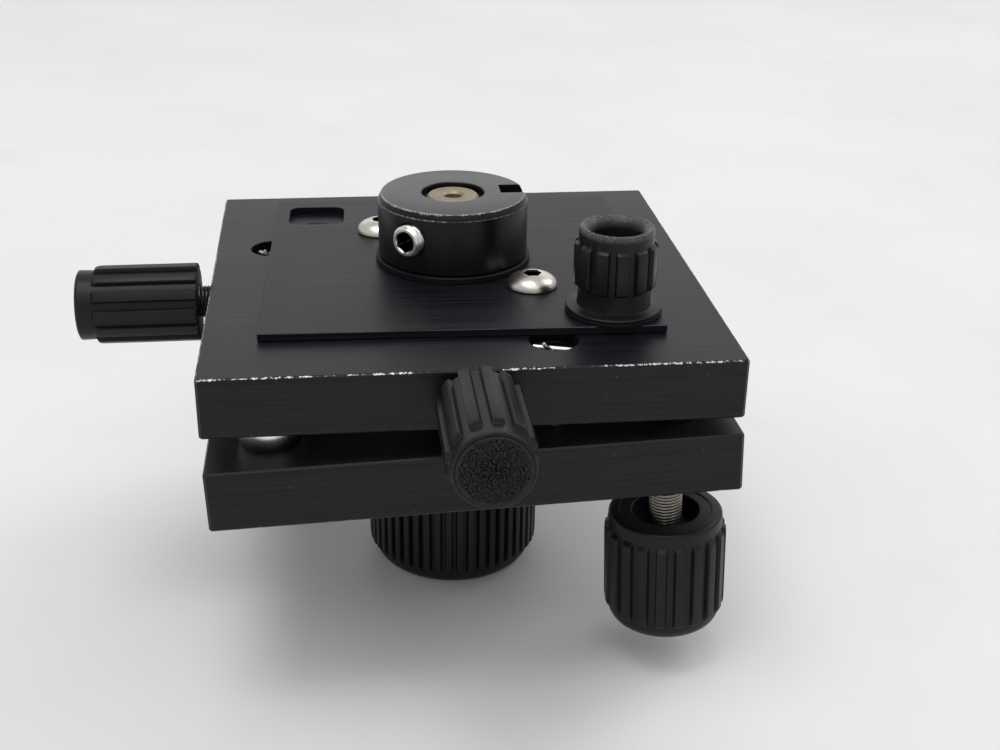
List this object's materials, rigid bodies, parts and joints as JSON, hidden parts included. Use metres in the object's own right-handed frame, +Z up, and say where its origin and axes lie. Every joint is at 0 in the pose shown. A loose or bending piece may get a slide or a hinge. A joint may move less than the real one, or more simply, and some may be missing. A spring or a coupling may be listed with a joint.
{
  "type": "five-axis positioning stage",
  "caption": "Small black manual stage: XY slide on a ball-pivoted tilt mount with spring-loaded adjusters, a lockable slide plate and a hub turned by a knob underneath.",
  "frame": {"origin": "foot of the spindle axis, on the surface the stage stands on: the underside of the spindle knob", "axes": "+Z up along the spindle; +X towards the side opposite the X drive knob; +Y away from the front drive knob, which faces -Y"},
  "size_m": [0.0968, 0.0955, 0.0658],
  "materials": {
    "black_anodised": "black anodised over fine brushing, worn bright at the edges",
    "black_anodised_hub": "black anodised, turned",
    "black_plastic": "moulded black, fine grain",
    "bare_aluminium": "machined, dry",
    "screw_steel": "plain steel thread",
    "bright_steel": "satin stainless",
    "dark_steel": "black oxide",
    "bronze": "turned bronze, dull"
  },
  "bodies": {
    "stage": {"top_plate": "black_anodised", "adjuster_pads": "bright_steel", "upper_spring_pins": "bright_steel", "x_lead_bush": "bronze", "y_lead_bush": "bronze", "front_tilt_spring": "bright_steel", "left_tilt_spring": "bright_steel"},
    "pivot": {"pivot_ball": "bright_steel"},
    "base": {"base_plate": "black_anodised", "front_adjuster_bush": "dark_steel", "rear_adjuster_bush": "dark_steel", "lower_spring_pins": "bright_steel"},
    "front_tip": {"front_adjuster_tip": "bright_steel"},
    "front_adjuster": {"front_adjuster_screw": "screw_steel", "front_adjuster_knob": "black_plastic"},
    "rear_tip": {"rear_adjuster_tip": "bright_steel"},
    "rear_adjuster": {"rear_adjuster_screw": "screw_steel", "rear_adjuster_knob": "black_plastic"},
    "cross_slide": {"cross_slide": "bare_aluminium"},
    "x_drive": {"x_drive_screw": "screw_steel", "x_drive_knob": "black_plastic", "x_drive_cap": "black_plastic"},
    "carriage": {"carriage": "bare_aluminium", "slide_plate": "black_anodised", "slide_plate_screws": "bright_steel", "thrust_washer": "dark_steel", "spindle_bush": "bronze"},
    "y_washer": {"y_slide_washer": "bright_steel"},
    "y_drive": {"y_drive_screw": "screw_steel", "y_drive_knob": "black_plastic", "y_drive_cap": "black_plastic"},
    "lock_washer": {"lock_washer": "dark_steel"},
    "lock": {"lock_screw": "screw_steel", "lock_nut": "dark_steel", "lock_knob": "black_plastic"},
    "spindle": {"hub": "black_anodised_hub", "spindle": "bronze", "hub_set_screw": "bright_steel", "spindle_knob": "black_anodised_hub", "spindle_knob_grub": "dark_steel", "spindle_clip": "dark_steel"}
  },
  "joints": [
    {"name": "rear_adjuster_tilt", "type": "hinge", "parent": "stage", "child": "pivot", "pos_m": [-0.0285, -0.0308, 0.04065], "axis": [1, 0, 0], "range_deg": [-1.03, 2.04], "deforming": ["left_tilt_spring"]},
    {"name": "front_adjuster_tilt", "type": "hinge", "parent": "pivot", "child": "base", "pos_m": [-0.0285, -0.0308, 0.04065], "axis": [0, 1, 0], "range_deg": [-1.02, 2.03], "deforming": ["front_tilt_spring"]},
    {"name": "front_adjuster_travel", "type": "slide", "parent": "base", "child": "front_tip", "axis": [-0.0377, 0.0248, 0.999], "range_m": [-0.001, 0.002]},
    {"name": "front_adjuster_turn", "type": "hinge", "parent": "front_tip", "child": "front_adjuster", "pos_m": [0.02852, -0.03138, 0.04128], "axis": [-0.0377, 0.0248, 0.999], "range_deg": [-720.01, 1440.01]},
    {"name": "rear_adjuster_travel", "type": "slide", "parent": "base", "child": "rear_tip", "axis": [-0.0377, 0.0248, 0.999], "range_m": [-0.002, 0.001]},
    {"name": "rear_adjuster_turn", "type": "hinge", "parent": "rear_tip", "child": "rear_adjuster", "pos_m": [-0.02858, 0.02563, 0.04128], "axis": [-0.0377, 0.0248, 0.999], "range_deg": [-1440.01, 720.01]},
    {"name": "cross_slide_travel", "type": "slide", "parent": "stage", "child": "cross_slide", "axis": [1, 0, 0], "range_m": [-0.0019, 0.0019]},
    {"name": "x_knob_turn", "type": "hinge", "parent": "cross_slide", "child": "x_drive", "pos_m": [-0.038, -0.0023, 0.0478], "axis": [1, 0, 0], "range_deg": [-1368.01, 1368.01]},
    {"name": "carriage_travel", "type": "slide", "parent": "cross_slide", "child": "carriage", "axis": [0, 1, 0], "range_m": [-0.0035, 0.0002]},
    {"name": "y_screw_travel", "type": "slide", "parent": "stage", "child": "y_washer", "axis": [0, 1, 0], "range_m": [-0.0035, 0.0002]},
    {"name": "y_knob_turn", "type": "hinge", "parent": "y_washer", "child": "y_drive", "pos_m": [0, -0.04, 0.0478], "axis": [0, 1, 0], "range_deg": [-2520.01, 144.01]},
    {"name": "lock_rise", "type": "slide", "parent": "stage", "child": "lock_washer", "axis": [0, 0, 1], "range_m": [0, 0.00035]},
    {"name": "lock_turn", "type": "hinge", "parent": "lock_washer", "child": "lock", "pos_m": [0.0214, -0.0233, 0.052], "axis": [0, 0, 1], "range_deg": [0, 180]},
    {"name": "spindle_turn", "type": "hinge", "parent": "carriage", "child": "spindle", "pos_m": [0, 0, 0.052], "axis": [0, 0, 1], "continuous": true}
  ],
  "couplings": [
    {"joint": "front_adjuster_turn", "follows": "front_adjuster_travel", "rad_per_m": 12566},
    {"joint": "front_adjuster_tilt", "follows": "front_adjuster_travel", "rad_per_m": 17.544},
    {"joint": "rear_adjuster_turn", "follows": "rear_adjuster_travel", "rad_per_m": 12566},
    {"joint": "rear_adjuster_tilt", "follows": "rear_adjuster_travel", "rad_per_m": -17.73},
    {"joint": "x_knob_turn", "follows": "cross_slide_travel", "rad_per_m": 12566},
    {"joint": "y_screw_travel", "follows": "carriage_travel", "ratio": 1},
    {"joint": "y_knob_turn", "follows": "carriage_travel", "rad_per_m": 12566},
    {"joint": "lock_turn", "follows": "lock_rise", "rad_per_m": 8975.9}
  ]
}
